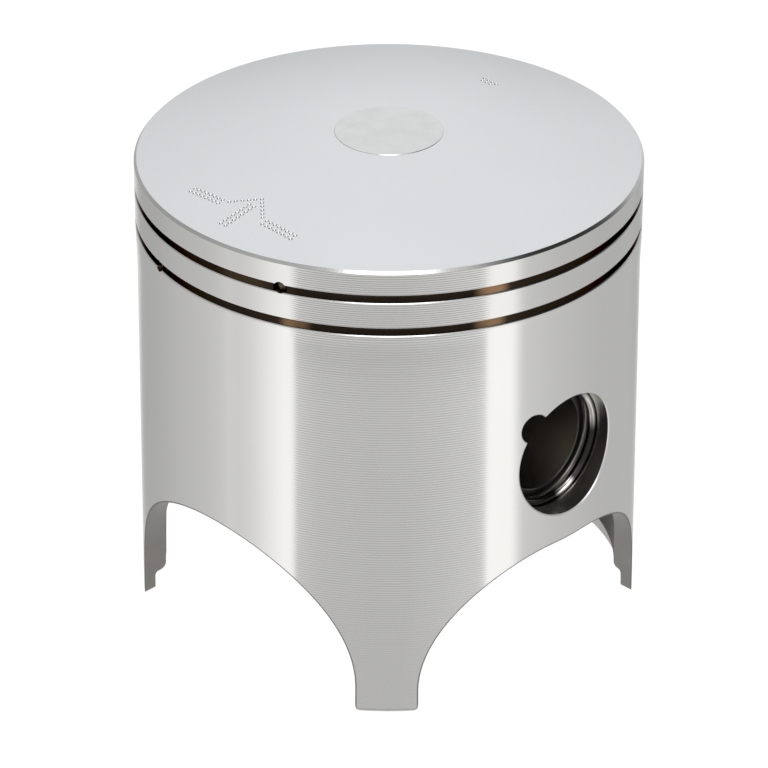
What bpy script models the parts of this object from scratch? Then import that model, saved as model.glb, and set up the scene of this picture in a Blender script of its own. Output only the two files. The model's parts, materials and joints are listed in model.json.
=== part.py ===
"""Two-stroke motorcycle piston with its rings, wrist pin and circlips.

World frame, metres: origin on the piston axis in the plane of the feet, +Z up
to the crown, wrist pin along X, intake side and ring pins towards -Y, full
exhaust skirt towards +Y. Right is +X, left is -X.
"""

import math

import bmesh
import bpy
from mathutils import Matrix, Vector

# All sizes are in millimetres: _R radius, _X and _Z places on those axes.
MM = 0.001

# Facets and arc divisions
PISTON_STEPS = 96  # round the piston axis, rings included
CAVITY_STEPS = 72
PIN_STEPS = 48  # round the wrist pin axis
NOTCH_STEPS = 24
LOCATOR_HOLE_STEPS = 20
LOCATOR_STEPS = 16
INTAKE_ARCH_STEPS = 40
SHOULDER_STEPS = 18
CIRCLIP_STEPS = 40

# How far the cutters run past the metal
CUT_REACH = 40.0  # from the piston axis, sideways
CUT_BELOW_Z = -2.0
ARCH_INNER = 14.0  # the arch cutters start this far from the piston axis

# Outside of the piston
LAND_R = 32.80  # ring lands
LAND_BASE_Z = 54.60  # lower edge of the lowest land
SKIRT_TOP_R, SKIRT_TOP_Z = 32.64, 53.7
SKIRT_R = 32.97  # skirt at the feet: it widens downwards
FOOT_BREAK = 0.30
RIM_Z = 64.44
RIM_CHAMFER = 0.45
DISC_R, DISC_Z = 7.0, 67.54  # flat disc at the middle of the domed crown
DOME_R = 161.0
DOME_STATIONS = (13.0, 19.0, 25.0)  # distances from the axis
GROOVE_TOPS = {"upper": 61.05, "lower": 56.47}
GROOVE_H = 1.02
GROOVE_R = 29.70

# Mouth of the piston: a step above the feet
PILOT_R, PILOT_Z = 31.45, 2.80
PILOT_CORNER_WIDTH, PILOT_CORNER_H = 0.35, 0.30  # slope at the top of the step
PILOT_CHAMFER = 0.25  # at the feet

# Inside of the piston
CAVITY_R = 30.20
CAVITY_SHIFT_Y = 0.35  # the forged inside sits a little towards the exhaust
BELT_R = 26.30  # inside of the ring belt
UNDERCROWN_Z = 61.60
UNDERCROWN_DROP = 0.35  # from the axis to the start of the fillet
FILLET_R = 5.9  # between the crown and the ring belt
CAVITY_WALL = (  # radius, height: from the ring belt down to the pilot step
    (BELT_R, 50.5),
    (CAVITY_R - 0.5, 44.0),
    (CAVITY_R, 41.0),
    (CAVITY_R, 3.6),
    (CAVITY_R + 0.1, 2.9),
    (CAVITY_R + 0.6, PILOT_Z),
)

# Wrist pin
PIN_Z = 32.92
PIN_R = 8.00
PIN_L = 56.0
PIN_BORE_R = 5.0
PIN_MOUTH_R = 6.6
PIN_TAPER_L = 14.0
PIN_EDGE = 0.5

# Bosses: half widths and heights are measured from the pin axis
BOSS_R = 11.5
BOSS_GAP = 23.0  # between the bosses, for the rod's small end
BOSS_SIDE_Z = 2.0  # where the straight sides start
WEB_TOP_HALF = 10.0
WEB_OVERLAP = 2.0  # the web runs this far into the crown

# Pin bore and circlips
BORE_R = 8.03
BORE_MOUTH_R = 8.45
BORE_MOUTH_OUTER_X, BORE_MOUTH_INNER_X = 32.30, 31.30  # ends of the mouth's cone
CLIP_X = 29.0
CLIP_WIRE = 1.2  # diameter
CLIP_CLEARANCE = 0.03
CLIP_HALF_GAP_DEG = 24
CLIP_GROOVE_R = 8.66
CLIP_GROOVE_W = 1.30
CLIP_GROOVE_SLOPE = 0.15
NOTCH_R = 2.0  # circlip removal notch
NOTCH_OUT = 8.5  # from the pin axis
NOTCH_DEG = 44.5  # above the horizontal, on the intake side
NOTCH_FLOOR_X = 28.35

# Arches in the skirt
INTAKE_ARCH_R, INTAKE_ARCH_Z = 20.00, 3.62
SIDE_ARCH_HALF, SIDE_ARCH_TOP_Z, SHOULDER_R = 20.45, 20.80, 17.80

# Rings and their locating pins
RING_OUT_R, RING_IN_R, RING_H = 32.70, 30.05, 0.98
RING_GAP = 2.1
LOCATORS = {"upper": (20.5, 60.70), "lower": (-17.8, 55.85)}  # degrees from -Y, height
LOCATOR_R = 0.75
LOCATOR_IN, LOCATOR_OUT = 27.8, 32.35  # ends, from the piston axis
SEAT_R = 0.78
SEAT_IN, SEAT_OUT = LOCATOR_IN - 0.1, GROOVE_R + 1
HOLE_R = 0.95
HOLE_IN, HOLE_OUT = GROOVE_R + 0.5, LAND_R + 3

MATERIALS = {
    "forged_alloy": dict(colour=(0.78, 0.78, 0.77), roughness=0.32),
    "ring_iron": dict(colour=(0.10, 0.08, 0.06), roughness=0.35),
    "coated_pin": dict(colour=(0.05, 0.05, 0.05), roughness=0.25),
    "spring_wire": dict(colour=(0.62, 0.62, 0.62), roughness=0.22),
    "dowel_steel": dict(colour=(0.55, 0.55, 0.54), roughness=0.30),
}

# Outline (across, up) to (y, z) with depth along X, and to (x, z) with depth along Y
ALONG_X = Matrix(((0, 0, 1, 0), (1, 0, 0, 0), (0, 1, 0, 0), (0, 0, 0, 1)))
ALONG_Y = Matrix(((1, 0, 0, 0), (0, 0, 1, 0), (0, 1, 0, 0), (0, 0, 0, 1)))


# Scene and materials

def clear_scene():
    for obj in list(bpy.data.objects):
        bpy.data.objects.remove(obj, do_unlink=True)


def collection(name):
    group = bpy.data.collections.new(name)
    bpy.context.scene.collection.children.link(group)
    return group


def metal(name, colour, roughness):
    finish = bpy.data.materials.new(name)
    finish.use_nodes = True
    shader = finish.node_tree.nodes["Principled BSDF"]
    shader.inputs["Base Color"].default_value = (*colour, 1)
    shader.inputs["Metallic"].default_value = 1.0
    shader.inputs["Roughness"].default_value = roughness
    return finish


# Building tools

def new_object(name, data, group, finish=None):
    obj = bpy.data.objects.new(name, data)
    group.objects.link(obj)
    if finish:
        data.materials.append(finish)
    return obj


def object_from(form, name, group, finish=None):
    """Turn a bmesh into an object and free it."""
    mesh = bpy.data.meshes.new(name)
    form.to_mesh(mesh)
    form.free()
    return new_object(name, mesh, group, finish)


def arc(across, up, radius, start, end, steps):
    """Points of an arc round the centre (across, up), from start to end in degrees."""
    turns = [math.radians(start + (end - start) * i / steps) for i in range(steps + 1)]
    return [(across + radius * math.cos(turn), up + radius * math.sin(turn)) for turn in turns]


def radial(degrees, radius, height):
    """Point at an angle round the piston axis, counted from -Y towards +X."""
    turn = math.radians(degrees)
    return (radius * math.sin(turn), -radius * math.cos(turn), height)


def lathe(name, profile, group, steps, finish=None, along_x=False):
    """Shape turned from (radius, height) points.

    The profile starts and ends on the axis, or closes on itself if it starts off it.
    """
    form = bmesh.new()
    points = [form.verts.new((radius * MM, 0, z * MM)) for radius, z in profile]
    pairs = list(zip(points, points[1:]))
    if profile[0][0] > 0:
        pairs.append((points[-1], points[0]))
    for pair in pairs:
        form.edges.new(pair)
    obj = object_from(form, name, group, finish)
    screw = obj.modifiers.new("Turned", "SCREW")
    screw.axis = "Z"
    screw.angle = math.tau
    screw.steps = screw.render_steps = steps
    screw.use_merge_vertices = True
    screw.merge_threshold = 1e-6
    screw.use_smooth_shade = False
    if along_x:
        obj.rotation_euler = (0, math.radians(90), 0)
    return obj


def prism(name, outline, depths, group, matrix):
    """Flat outline raised between two depths, then placed by the matrix."""
    near, far = sorted(depths)
    form = bmesh.new()
    face = form.faces.new(
        [form.verts.new((across * MM, up * MM, near * MM)) for across, up in outline]
    )
    raised = bmesh.ops.extrude_face_region(form, geom=[face])
    moved = [item for item in raised["geom"] if isinstance(item, bmesh.types.BMVert)]
    bmesh.ops.translate(form, verts=moved, vec=(0, 0, (far - near) * MM))
    bmesh.ops.transform(form, matrix=matrix, verts=form.verts)
    bmesh.ops.recalc_face_normals(form, faces=form.faces)
    return object_from(form, name, group)


def round_bar(name, start, end, radius, steps, group, finish=None):
    """Solid round bar between two points."""
    start, end = Vector(start) * MM, Vector(end) * MM
    form = bmesh.new()
    bmesh.ops.create_cone(
        form,
        cap_ends=True,
        segments=steps,
        radius1=radius * MM,
        radius2=radius * MM,
        depth=(end - start).length,
    )
    obj = object_from(form, name, group, finish)
    obj.location = (start + end) / 2
    obj.rotation_mode = "QUATERNION"
    obj.rotation_quaternion = (end - start).to_track_quat("Z", "Y")
    return obj


def cut(target, cutter):
    """Subtract the cutter from the target and keep it as a hidden helper."""
    cutter.hide_render = True
    cutter.display_type = "WIRE"
    made = target.modifiers.new(f"difference_{cutter.name}", "BOOLEAN")
    made.operation = "DIFFERENCE"
    made.solver = "EXACT"
    made.object = cutter


def smooth(obj):
    obj.data.shade_smooth()
    obj.data.set_sharp_from_angle(angle=math.radians(35))


# Profiles (radius, height) and outlines (across, up)

def dome_z(radius):
    """Height of the crown: a dome that starts at the edge of the middle disc."""
    return DISC_Z - math.sqrt(DOME_R**2 - DISC_R**2) + math.sqrt(DOME_R**2 - radius**2)


def outer_profile():
    line = [(0, DISC_Z), (DISC_R, DISC_Z)]
    line += [(radius, dome_z(radius)) for radius in DOME_STATIONS]
    line += [(LAND_R - RIM_CHAMFER, RIM_Z), (LAND_R, RIM_Z - RIM_CHAMFER)]
    for top in GROOVE_TOPS.values():
        line += [(LAND_R, top), (GROOVE_R, top)]
        line += [(GROOVE_R, top - GROOVE_H), (LAND_R, top - GROOVE_H)]
    line += [(LAND_R, LAND_BASE_Z), (SKIRT_TOP_R, SKIRT_TOP_Z)]
    return line + [(SKIRT_R, FOOT_BREAK), (SKIRT_R - FOOT_BREAK, 0), (0, 0)]


def cavity_profile():
    """Thin skirt wall, thicker ring belt, rounded into the crown; open at the mouth."""
    fillet_r = BELT_R - FILLET_R
    fillet_top = UNDERCROWN_Z - UNDERCROWN_DROP
    line = [(0, UNDERCROWN_Z), (fillet_r, fillet_top)]
    line += arc(fillet_r, fillet_top - FILLET_R, FILLET_R, start=60, end=0, steps=2)
    line += CAVITY_WALL
    return line + [(CAVITY_WALL[-1][0], CUT_BELOW_Z), (0, CUT_BELOW_Z)]


def pilot_profile():
    mouth_r = PILOT_R + PILOT_CHAMFER
    return [
        (0, PILOT_Z),
        (PILOT_R - PILOT_CORNER_WIDTH, PILOT_Z),
        (PILOT_R, PILOT_Z - PILOT_CORNER_H),
        (PILOT_R, PILOT_CHAMFER),
        (mouth_r, 0),
        (mouth_r, CUT_BELOW_Z),
        (0, CUT_BELOW_Z),
    ]


def bore_profile():
    """Pin bore with a broken mouth and a circlip groove near each end."""
    half = CLIP_GROOVE_W / 2
    floor_half = half - CLIP_GROOVE_SLOPE
    line = [
        (0, CUT_REACH),
        (BORE_MOUTH_R, CUT_REACH),
        (BORE_MOUTH_R, BORE_MOUTH_OUTER_X),
        (BORE_R, BORE_MOUTH_INNER_X),
        (BORE_R, CLIP_X + half),
        (CLIP_GROOVE_R, CLIP_X + floor_half),
        (CLIP_GROOVE_R, CLIP_X - floor_half),
        (BORE_R, CLIP_X - half),
    ]
    return line + [(radius, -z) for radius, z in reversed(line)]


def boss_outline():
    """Boss and its web: round under the bore, sides that close in towards the crown."""
    web_top = UNDERCROWN_Z - PIN_Z + WEB_OVERLAP
    line = [(-WEB_TOP_HALF, web_top), (-BOSS_R, BOSS_SIDE_Z)]
    line += arc(0, 0, BOSS_R, start=190, end=350, steps=16)
    return line + [(BOSS_R, BOSS_SIDE_Z), (WEB_TOP_HALF, web_top)]


def intake_arch_outline():
    """Half round on straight sides."""
    top = arc(0, INTAKE_ARCH_Z, INTAKE_ARCH_R, start=0, end=180, steps=INTAKE_ARCH_STEPS)
    return [(INTAKE_ARCH_R, CUT_BELOW_Z), *top, (-INTAKE_ARCH_R, CUT_BELOW_Z)]


def side_arch_outline():
    """Flat top with large round shoulders."""
    across = SIDE_ARCH_HALF - SHOULDER_R
    up = SIDE_ARCH_TOP_Z - SHOULDER_R
    line = [(SIDE_ARCH_HALF, CUT_BELOW_Z)]
    line += arc(across, up, SHOULDER_R, start=0, end=90, steps=SHOULDER_STEPS)
    line += arc(-across, up, SHOULDER_R, start=90, end=180, steps=SHOULDER_STEPS)
    return line + [(-SIDE_ARCH_HALF, CUT_BELOW_Z)]


# Piston

def cut_inside(body, helpers):
    """Hollow the body, leaving the two bosses, then turn the step at the mouth."""
    cavity = lathe("cut_cavity", cavity_profile(), helpers, CAVITY_STEPS)
    cavity.location = (0, CAVITY_SHIFT_Y * MM, 0)
    at_pin = Matrix.Translation((0, 0, PIN_Z * MM)) @ ALONG_X
    for name, side in (("boss_right", 1), ("boss_left", -1)):
        depths = (side * BOSS_GAP / 2, side * CUT_REACH)
        # Taken out of the cavity, so the boss stays as metal in the piston
        cut(cavity, prism(name, boss_outline(), depths, helpers, at_pin))
    cut(body, cavity)
    cut(body, lathe("cut_pilot", pilot_profile(), helpers, PISTON_STEPS))


def cut_arches(body, helpers):
    depths = (-CUT_REACH, -ARCH_INNER)
    cut(body, prism("cut_intake_arch", intake_arch_outline(), depths, helpers, ALONG_Y))
    for side in (1, -1):
        name = f"cut_side_arch_{side + 1}"
        depths = (side * ARCH_INNER, side * CUT_REACH)
        cut(body, prism(name, side_arch_outline(), depths, helpers, ALONG_X))


def cut_pin_bore(body, helpers):
    bore = lathe("cut_pin_bore", bore_profile(), helpers, PIN_STEPS, along_x=True)
    bore.location = (0, 0, PIN_Z * MM)
    cut(body, bore)


def cut_notches(body, helpers):
    lift = math.radians(NOTCH_DEG)
    y = -NOTCH_OUT * math.cos(lift)
    z = PIN_Z + NOTCH_OUT * math.sin(lift)
    for side in (1, -1):
        start, end = (side * NOTCH_FLOOR_X, y, z), (side * CUT_REACH, y, z)
        cut(body, round_bar(f"cut_notch_{side + 1}", start, end, NOTCH_R, NOTCH_STEPS, helpers))


def cut_locator_holes(body, helpers):
    """A close seat for each ring pin, and a wider hole outside it."""
    bores = (
        ("seat", SEAT_IN, SEAT_OUT, SEAT_R, LOCATOR_STEPS),
        ("hole", HOLE_IN, HOLE_OUT, HOLE_R, LOCATOR_HOLE_STEPS),
    )
    for place, (degrees, height) in LOCATORS.items():
        for kind, inner, outer, radius, steps in bores:
            start, end = radial(degrees, inner, height), radial(degrees, outer, height)
            cut(body, round_bar(f"cut_{place}_{kind}", start, end, radius, steps, helpers))


def piston_body(parts, helpers, finish):
    body = lathe("piston_body", outer_profile(), parts, PISTON_STEPS, finish)
    cut_inside(body, helpers)
    cut_arches(body, helpers)
    cut_pin_bore(body, helpers)
    cut_notches(body, helpers)
    cut_locator_holes(body, helpers)


# Fitted parts

def ring_pin(place, parts, finish):
    degrees, height = LOCATORS[place]
    start, end = radial(degrees, LOCATOR_IN, height), radial(degrees, LOCATOR_OUT, height)
    smooth(round_bar(f"{place}_ring_pin", start, end, LOCATOR_R, LOCATOR_STEPS, parts, finish))


def piston_ring(place, parts, finish):
    """Plain rectangular ring centred in its groove, open at its locating pin."""
    low = GROOVE_TOPS[place] - (GROOVE_H + RING_H) / 2
    high = low + RING_H
    half_gap = math.degrees(RING_GAP / 2 / RING_OUT_R)
    start = LOCATORS[place][0] + half_gap
    section = [(RING_OUT_R, high), (RING_OUT_R, low), (RING_IN_R, low), (RING_IN_R, high)]
    form = bmesh.new()
    face = form.faces.new(
        [form.verts.new(Vector(radial(start, radius, z)) * MM) for radius, z in section]
    )
    bmesh.ops.spin(
        form,
        geom=[face, *face.edges, *face.verts],
        cent=(0, 0, 0),
        axis=(0, 0, 1),
        angle=math.radians(360 - 2 * half_gap),
        steps=PISTON_STEPS,
        use_merge=False,
    )
    bmesh.ops.recalc_face_normals(form, faces=form.faces)
    smooth(object_from(form, f"{place}_ring", parts, finish))


def wrist_pin(parts, finish):
    """Hollow pin, its bore opened out to a cone at each end."""
    half = PIN_L / 2
    line = [(PIN_MOUTH_R, half), (PIN_R - PIN_EDGE, half), (PIN_R, half - PIN_EDGE)]
    line += [(PIN_R, -half + PIN_EDGE), (PIN_R - PIN_EDGE, -half), (PIN_MOUTH_R, -half)]
    line += [(PIN_BORE_R, -half + PIN_TAPER_L), (PIN_BORE_R, half - PIN_TAPER_L)]
    pin = lathe("wrist_pin", line, parts, PIN_STEPS, finish, along_x=True)
    pin.location = (0, 0, PIN_Z * MM)


def circlip(name, side, parts, finish):
    """Plain round-wire clip, open at the top."""
    mean_r = CLIP_GROOVE_R - CLIP_CLEARANCE - CLIP_WIRE / 2
    start, end = 90 + CLIP_HALF_GAP_DEG, 450 - CLIP_HALF_GAP_DEG
    path = arc(0, PIN_Z, mean_r, start, end, CIRCLIP_STEPS)
    curve = bpy.data.curves.new(name, "CURVE")
    curve.dimensions = "3D"
    spline = curve.splines.new("POLY")
    spline.points.add(len(path) - 1)
    for point, (y, z) in zip(spline.points, path):
        point.co = (side * CLIP_X * MM, y * MM, z * MM, 1)
    curve.bevel_depth = CLIP_WIRE / 2 * MM
    curve.bevel_resolution = 2
    curve.use_fill_caps = True
    new_object(name, curve, parts, finish)


def main():
    clear_scene()
    parts = collection("motorcycle_piston")
    helpers = collection("cutters")
    finishes = {name: metal(name, **look) for name, look in MATERIALS.items()}

    piston_body(parts, helpers, finishes["forged_alloy"])
    for place in LOCATORS:
        ring_pin(place, parts, finishes["dowel_steel"])
        piston_ring(place, parts, finishes["ring_iron"])
    wrist_pin(parts, finishes["coated_pin"])
    for name, side in (("right_circlip", 1), ("left_circlip", -1)):
        circlip(name, side, parts, finishes["spring_wire"])


main()
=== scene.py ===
import json
import math

import bmesh
import bpy
import numpy as np
from mathutils import Matrix, Vector

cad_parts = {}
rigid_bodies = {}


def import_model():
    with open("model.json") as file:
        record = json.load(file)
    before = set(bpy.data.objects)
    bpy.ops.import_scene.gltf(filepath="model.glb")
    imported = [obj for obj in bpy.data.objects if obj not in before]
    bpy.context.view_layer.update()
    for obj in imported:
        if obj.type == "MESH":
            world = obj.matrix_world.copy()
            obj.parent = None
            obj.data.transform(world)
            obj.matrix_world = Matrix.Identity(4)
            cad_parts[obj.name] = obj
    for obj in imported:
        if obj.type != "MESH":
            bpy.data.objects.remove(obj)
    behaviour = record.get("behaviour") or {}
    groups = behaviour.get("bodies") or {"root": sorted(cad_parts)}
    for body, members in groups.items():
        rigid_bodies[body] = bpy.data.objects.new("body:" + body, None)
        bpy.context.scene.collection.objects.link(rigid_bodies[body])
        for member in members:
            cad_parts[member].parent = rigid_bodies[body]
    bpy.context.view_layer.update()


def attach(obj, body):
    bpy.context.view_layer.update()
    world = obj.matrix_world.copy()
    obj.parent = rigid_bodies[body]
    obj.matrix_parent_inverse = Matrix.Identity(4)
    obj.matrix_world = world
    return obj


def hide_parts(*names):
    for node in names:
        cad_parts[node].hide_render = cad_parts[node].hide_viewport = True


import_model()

# ---------------------------------------------------------------- dimensions, mm
STEPS = 360  # facets round the piston axis
BORE_STEPS = 160

LAND_R, SKIRT_TOP_R, SKIRT_R, SKIRT_TOP_Z = 32.80, 32.64, 32.97, 53.7
RIM_Z, RIM_CHAMFER, RIM_CHAMFER_R = 64.44, 0.42, 0.34
DISC_R, DISC_Z, DISC_STEP, CROWN_R = 7.0, 67.54, 0.055, 161.0
GROOVE_TOPS, GROOVE_H, GROOVE_R = (61.05, 56.47), 1.02, 29.70
LAND_BREAK = 0.11  # edge break beside each ring groove
FOOT_ROUND, FOOT_ROUND_IN = 0.52, 0.60
FOOT_CORNER = 1.05

CAVITY_R, CAVITY_SHIFT_Y, BELT_R, UNDERCROWN_Z = 30.20, 0.35, 26.30, 61.60
PILOT_R, PILOT_Z = 31.45, 2.80

PIN_Z, PIN_R, PIN_L = 32.92, 8.00, 56.0
PIN_BORE_R, PIN_MOUTH_R, PIN_TAPER_L = 5.0, 6.6, 14.0
BORE_R, BORE_MOUTH_R, BORE_BREAK = 8.03, 8.30, 0.17
BOSS_R, BOSS_GAP = 11.5, 23.0
CLIP_X, CLIP_WIRE, CLIP_GROOVE_R, CLIP_GROOVE_W = 29.0, 1.2, 8.66, 1.30
NOTCH_R, NOTCH_OUT, NOTCH_DEG, NOTCH_FLOOR_X = 2.0, 8.5, 44.5, 28.35

INTAKE_ARCH_R, INTAKE_ARCH_Z = 19.96, 3.60
SIDE_ARCH_HALF, SIDE_ARCH_TOP, SIDE_ARCH_CORNER = 20.40, 20.74, 17.80
ARCH_BREAK, ARCH_BREAK_IN = 0.24, 0.12

RING_OUT_R, RING_IN_R, RING_H, RING_GAP = 32.70, 30.05, 0.98, 1.85
LOCATOR_R, LOCATOR_HOLE_R, LOCATOR_SEAT_R = 0.66, 0.80, 0.70
LOCATOR_IN, LOCATOR_OUT = 27.8, 32.35
LOCATORS = {"upper": (20.5, 60.70), "lower": (-17.8, 55.85)}

# material slots of the piston body
TURNED, CROWN, GROOVE, MILLED, FORGED, BORE, EDGE, ARCH_EDGE, LIP = range(9)

CAM_AZ, CAM_EL, CAM_ROLL = math.radians(44.786), math.radians(29.523), math.radians(0.115)
CAM_DIST, CAM_TARGET = 611.4, Vector((-0.413, -0.411, 30.156))
CAM_LENS = 4625.4 / 768 * 36

ALONG_X = Matrix(((0, 0, 1, 0), (1, 0, 0, 0), (0, 1, 0, 0), (0, 0, 0, 1)))
ALONG_Y = Matrix(((1, 0, 0, 0), (0, 0, 1, 0), (0, 1, 0, 0), (0, 0, 0, 1)))

SCENE = bpy.context.scene
WORK = bpy.data.collections.new("work")
SCENE.collection.children.link(WORK)


# ---------------------------------------------------------------- mesh helpers, in mm
def dome_z(r):
    return DISC_Z - math.sqrt(CROWN_R**2 - DISC_R**2) + math.sqrt(CROWN_R**2 - r * r)


def skirt_r(z):
    """The skirt widens towards its foot, and eases into the lands over a few millimetres."""
    r = SKIRT_TOP_R + (SKIRT_R - SKIRT_TOP_R) * min(max((SKIRT_TOP_Z - z) / SKIRT_TOP_Z, 0), 1)
    t = min(max((z - SKIRT_TOP_Z + 4.4) / 5.6, 0), 1)
    return r + (LAND_R - r) * t * t * (3 - 2 * t)


def radial(degrees, radius, height):
    turn = math.radians(degrees)
    return Vector((radius * math.sin(turn), -radius * math.cos(turn), height))


def arc(cx, cz, r, start, end, count):
    """Points on a circle, by angle in degrees, both ends included."""
    return [
        (cx + r * math.cos(math.radians(start + (end - start) * i / count)), cz + r * math.sin(math.radians(start + (end - start) * i / count)))
        for i in range(count + 1)
    ]


def mesh_of(name, points, faces, mats=None):
    mesh = bpy.data.meshes.new(name)
    mesh.from_pydata([tuple(p) for p in points], [], faces)
    if mats is not None:
        mesh.polygons.foreach_set("material_index", np.asarray(mats, np.int32))
    mesh.update()
    return mesh


def work_object(name, mesh, materials=None):
    obj = bpy.data.objects.new(name, mesh)
    WORK.objects.link(obj)
    for m in materials or []:
        mesh.materials.append(m)
    return obj


def lathe(name, profile, steps, mats=0, closed=False, phase=0.0):
    """Turned mesh. The profile runs down its outer side, and starts and ends on the axis unless it's closed."""
    rows, points = [], []
    for r, z in profile:
        if r <= 1e-9:
            rows.append([len(points)] * steps)
            points.append((0, 0, z))
        else:
            rows.append(list(range(len(points), len(points) + steps)))
            for j in range(steps):
                a = math.tau * j / steps + phase
                points.append((r * math.cos(a), r * math.sin(a), z))
    if closed:
        rows.append(rows[0])
    faces, slots = [], []
    for i in range(len(rows) - 1):
        upper, lower = rows[i], rows[i + 1]
        for j in range(steps):
            k = (j + 1) % steps
            loop = []
            for v in (upper[j], lower[j], lower[k], upper[k]):
                if v not in loop:
                    loop.append(v)
            if len(loop) > 2:
                faces.append(loop)
                slots.append(mats if isinstance(mats, int) else mats[i])
    return mesh_of(name, points, faces, slots)


def prism(name, outline, low, high, matrix, mat=0):
    n = len(outline)
    points = [matrix @ Vector((a, b, low)) for a, b in outline] + [matrix @ Vector((a, b, high)) for a, b in outline]
    faces = [list(range(n))[::-1], list(range(n, 2 * n))]
    faces += [[i, (i + 1) % n, n + (i + 1) % n, n + i] for i in range(n)]
    mesh = mesh_of(name, points, faces, [mat] * len(faces))
    face_outwards(mesh)
    return mesh


def face_outwards(mesh):
    form = bmesh.new()
    form.from_mesh(mesh)
    bmesh.ops.recalc_face_normals(form, faces=form.faces)
    form.to_mesh(mesh)
    form.free()


def rod(name, start, end, radius, steps, mat=0, dome=0.0):
    """Round bar between two points, with an optional crowned far end."""
    start, end = Vector(start), Vector(end)
    length = (end - start).length
    profile = [(0, length)]
    if dome:
        profile = [(0, length)] + [(radius * 0.82 * k / 4, length - dome * (k / 4) ** 2) for k in range(1, 4)]
        profile += [(radius * 0.86, length - dome * 1.1), (radius, length - dome * 1.1 - radius * 0.14)]
    else:
        profile += [(radius, length)]
    profile += [(radius, 0), (0, 0)]
    mesh = lathe(name, profile, steps, mat)
    turn = (end - start).to_track_quat("Z", "Y").to_matrix().to_4x4()
    mesh.transform(Matrix.Translation(start) @ turn)
    return mesh


def sweep(name, rings, closed, mat=0):
    """Skin over a row of rings that all have the same number of points."""
    m = len(rings[0])
    points = [p for ring in rings for p in ring]
    faces = []
    count = len(rings) if closed else len(rings) - 1
    for i in range(count):
        a, b = i * m, ((i + 1) % len(rings)) * m
        faces += [[a + k, a + (k + 1) % m, b + (k + 1) % m, b + k] for k in range(m)]
    if not closed:
        faces += [list(range(m))[::-1], list(range((len(rings) - 1) * m, len(rings) * m))]
    mesh = mesh_of(name, points, faces, [mat] * len(faces))
    face_outwards(mesh)
    return mesh


def edge_break(name, outline, place, inward, closed, size, mat=EDGE, depth=None):
    """Cutter that takes the corner off the rim where an opening, cut along `inward`, meets the skirt.

    outline is the opening in its own plane, place(a, b) puts one of its points on the skirt."""
    n = len(outline)
    rings = []
    for i, (a, b) in enumerate(outline):
        pa, pb = outline[(i - 1) % n] if closed or i else outline[i]
        na, nb = outline[(i + 1) % n] if closed or i < n - 1 else outline[i]
        ta, tb = na - pa, nb - pb
        length = math.hypot(ta, tb)
        ua, ub = tb / length, -ta / length  # out of the opening when the outline runs anticlockwise
        at = place(a, b)
        side = place(a + 0.05 * ua, b + 0.05 * ub) - at
        side.normalize()
        out = Vector((at.x, at.y, 0)).normalized()
        depth = depth or size
        over = 0.12
        p_side = at + side * (size + over * size / depth) + out * over * 0.9
        p_deep = at + inward * (depth + over * depth / size) - side * over * 0.9
        rings.append([p_side, p_deep, p_deep - side * 0.35, at - side * 0.35 + out * 0.6, p_side + out * 0.5])
    return sweep(name, rings, closed, mat)


def boolean(target, mesh, name, operation="DIFFERENCE", materials=None):
    cutter = work_object(name, mesh, materials)
    made = target.modifiers.new(name, "BOOLEAN")
    made.operation = operation
    made.solver = "EXACT"
    made.material_mode = "INDEX"
    made.object = cutter
    return cutter


def evaluated(obj, name):
    graph = bpy.context.evaluated_depsgraph_get()
    mesh = bpy.data.meshes.new_from_object(obj.evaluated_get(graph), depsgraph=graph)
    mesh.name = name
    return mesh


# ---------------------------------------------------------------- materials
class Nodes:
    def __init__(self, tree):
        self.tree = tree

    def add(self, kind, **values):
        node = self.tree.nodes.new(kind)
        for key, value in values.items():
            setattr(node, key, value)
        return node

    def link(self, a, b):
        self.tree.links.new(a, b)

    def put(self, value, socket):
        if isinstance(value, (int, float, tuple, list)):
            socket.default_value = value
        else:
            self.link(value, socket)

    def math(self, operation, *inputs, clamp=False):
        node = self.add("ShaderNodeMath", operation=operation)
        node.use_clamp = clamp
        for value, socket in zip(inputs, node.inputs):
            self.put(value, socket)
        return node.outputs[0]

    def ramp(self, value, low, high, to_low=0.0, to_high=1.0, smooth=True):
        node = self.add("ShaderNodeMapRange")
        node.interpolation_type = "SMOOTHSTEP" if smooth else "LINEAR"
        for given, socket in zip((value, low, high, to_low, to_high), node.inputs):
            self.put(given, socket)
        return node.outputs[0]

    def noise(self, vector, scale, detail=2.0, rough=0.5):
        node = self.add("ShaderNodeTexNoise")
        self.put(vector, node.inputs["Vector"])
        node.inputs["Scale"].default_value = scale
        node.inputs["Detail"].default_value = detail
        node.inputs["Roughness"].default_value = rough
        return node.outputs["Fac"]

    def stretch(self, vector, x, y, z):
        node = self.add("ShaderNodeVectorMath", operation="MULTIPLY")
        self.link(vector, node.inputs[0])
        node.inputs[1].default_value = (x, y, z)
        return node.outputs[0]

    def mix(self, factor, a, b):
        node = self.add("ShaderNodeMix", data_type="RGBA")
        self.put(factor, node.inputs["Factor"])
        for value, socket in ((a, node.inputs["A"]), (b, node.inputs["B"])):
            self.put((*value, 1) if isinstance(value, tuple) and len(value) == 3 else value, socket)
        return node.outputs["Result"]


def metal(name, colour, rough, colour2=None, aniso=0.0, build=None):
    """Principled metal. build(nodes, shader, position) adds what the finish needs."""
    made = bpy.data.materials.new(name)
    made.use_nodes = True
    tree = made.node_tree
    nodes = Nodes(tree)
    shader = tree.nodes["Principled BSDF"]
    shader.inputs["Base Color"].default_value = (*colour, 1)
    shader.inputs["Metallic"].default_value = 1.0
    shader.inputs["Roughness"].default_value = rough
    shader.inputs["Anisotropic"].default_value = aniso
    coords = nodes.add("ShaderNodeTexCoord")
    if build:
        build(nodes, shader, coords.outputs["Object"])
    made.diffuse_color = (*colour, 1)
    return made


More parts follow.
